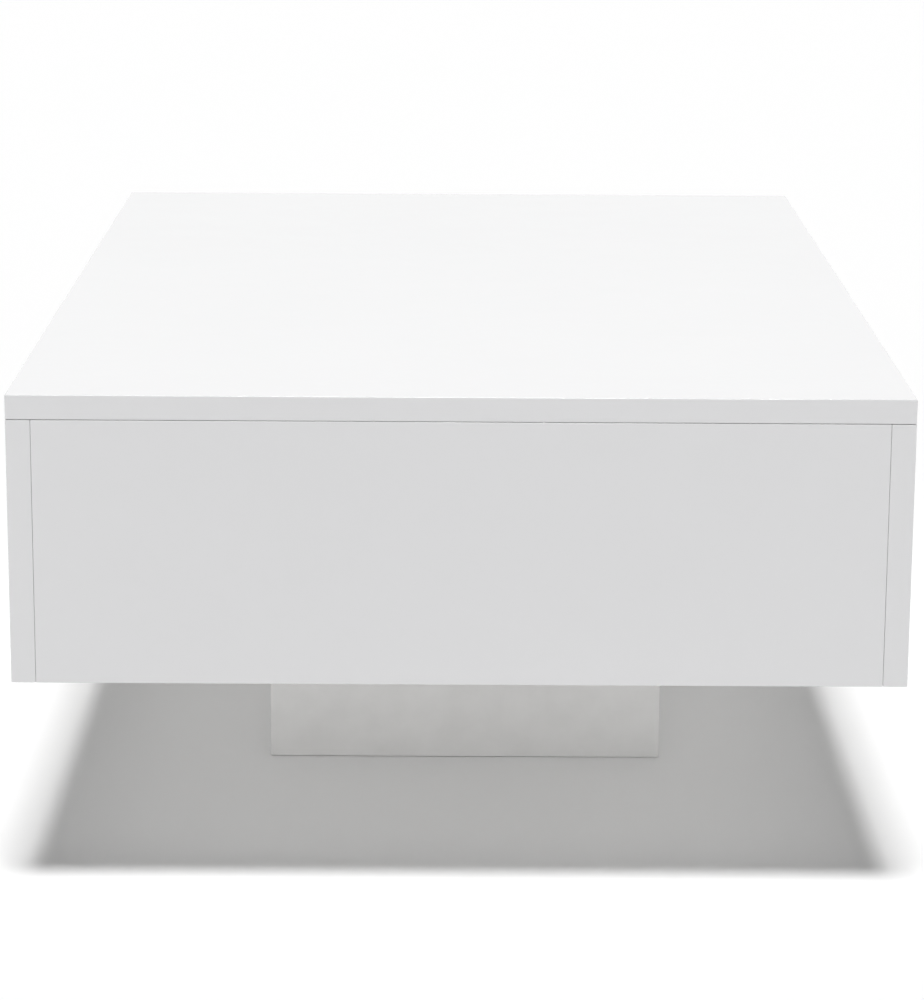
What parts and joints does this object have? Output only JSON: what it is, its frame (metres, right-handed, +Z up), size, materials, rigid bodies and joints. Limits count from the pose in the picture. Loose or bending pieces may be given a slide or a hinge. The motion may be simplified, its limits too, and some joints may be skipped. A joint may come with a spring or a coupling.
{
  "type": "lift top coffee table",
  "caption": "Gloss white box coffee table on a small central plinth. The one-piece top lifts up and out, level, on sprung parallel arms over a storage space.",
  "frame": {"origin": "on the floor, under the centre of the table", "axes": "+Z up; Y along the table's length with its pictured short end at -Y; +X towards the side that the raised top comes out over"},
  "size_m": [0.55, 0.85, 0.31],
  "materials": {
    "gloss_board": "high gloss white lacquer on fibreboard",
    "satin_board": "satin white foil on fibreboard",
    "raw_timber": "sawn softwood, bare",
    "felt": "pressed felt",
    "clear_rubber": "soft translucent rubber",
    "black_steel": "black powder coat, fine texture",
    "zinc_steel": "bright zinc plate",
    "spring_steel": "oiled spring wire"
  },
  "bodies": {
    "carcass": {"side_panel_left": "gloss_board", "side_panel_right": "gloss_board", "end_panel_front": "gloss_board", "end_panel_rear": "gloss_board", "bottom_panel": "satin_board", "plinth_board_front": "satin_board", "plinth_board_rear": "satin_board", "plinth_board_left": "satin_board", "plinth_board_right": "satin_board", "plinth_block_1": "raw_timber", "plinth_glide_1": "felt", "lid_bumper_1": "clear_rubber", "plinth_block_2": "raw_timber", "plinth_glide_2": "felt", "lid_bumper_2": "clear_rubber", "plinth_block_3": "raw_timber", "plinth_glide_3": "felt", "lid_bumper_3": "clear_rubber", "plinth_block_4": "raw_timber", "plinth_glide_4": "felt", "lid_bumper_4": "clear_rubber", "lift_bracket_front": "black_steel", "bracket_screw_front_1": "zinc_steel", "bracket_screw_front_2": "zinc_steel", "bracket_screw_front_3": "zinc_steel", "bracket_screw_front_4": "zinc_steel", "base_pivot_lead_front": "zinc_steel", "base_pivot_trail_front": "zinc_steel", "open_stop_front": "zinc_steel", "spring_anchor_front": "zinc_steel", "assist_spring_front": "spring_steel", "lift_bracket_rear": "black_steel", "bracket_screw_rear_1": "zinc_steel", "bracket_screw_rear_2": "zinc_steel", "bracket_screw_rear_3": "zinc_steel", "bracket_screw_rear_4": "zinc_steel", "base_pivot_lead_rear": "zinc_steel", "base_pivot_trail_rear": "zinc_steel", "open_stop_rear": "zinc_steel", "spring_anchor_rear": "zinc_steel", "assist_spring_rear": "spring_steel"},
    "lead_arms": {"lead_arm_front": "black_steel", "lead_arm_rear": "black_steel"},
    "trail_arms": {"trail_arm_front": "black_steel", "spring_pin_front": "zinc_steel", "trail_arm_rear": "black_steel", "spring_pin_rear": "zinc_steel"},
    "lid": {"lid_panel": "gloss_board", "lid_rail_front": "black_steel", "rail_screw_front_1": "zinc_steel", "rail_screw_front_2": "zinc_steel", "rail_screw_front_3": "zinc_steel", "lid_pivot_lead_front": "zinc_steel", "lid_pivot_trail_front": "zinc_steel", "lid_rail_rear": "black_steel", "rail_screw_rear_1": "zinc_steel", "rail_screw_rear_2": "zinc_steel", "rail_screw_rear_3": "zinc_steel", "lid_pivot_lead_rear": "zinc_steel", "lid_pivot_trail_rear": "zinc_steel"}
  },
  "joints": [
    {"name": "lift", "type": "hinge", "parent": "carcass", "child": "lead_arms", "pos_m": [0.149, 0, 0.2355], "axis": [0, 1, 0], "range_deg": [0, 95], "deforming": ["assist_spring_front", "assist_spring_rear"]},
    {"name": "trail_arm_turn", "type": "hinge", "parent": "carcass", "child": "trail_arms", "pos_m": [0.059, 0, 0.2195], "axis": [0, 1, 0], "range_deg": [0, 95]},
    {"name": "lid_level", "type": "hinge", "parent": "lead_arms", "child": "lid", "pos_m": [-0.03685, 0, 0.275], "axis": [0, 1, 0], "range_deg": [-95, 0]}
  ],
  "couplings": [
    {"joint": "trail_arm_turn", "follows": "lift", "ratio": 1},
    {"joint": "lid_level", "follows": "lift", "ratio": -1}
  ]
}
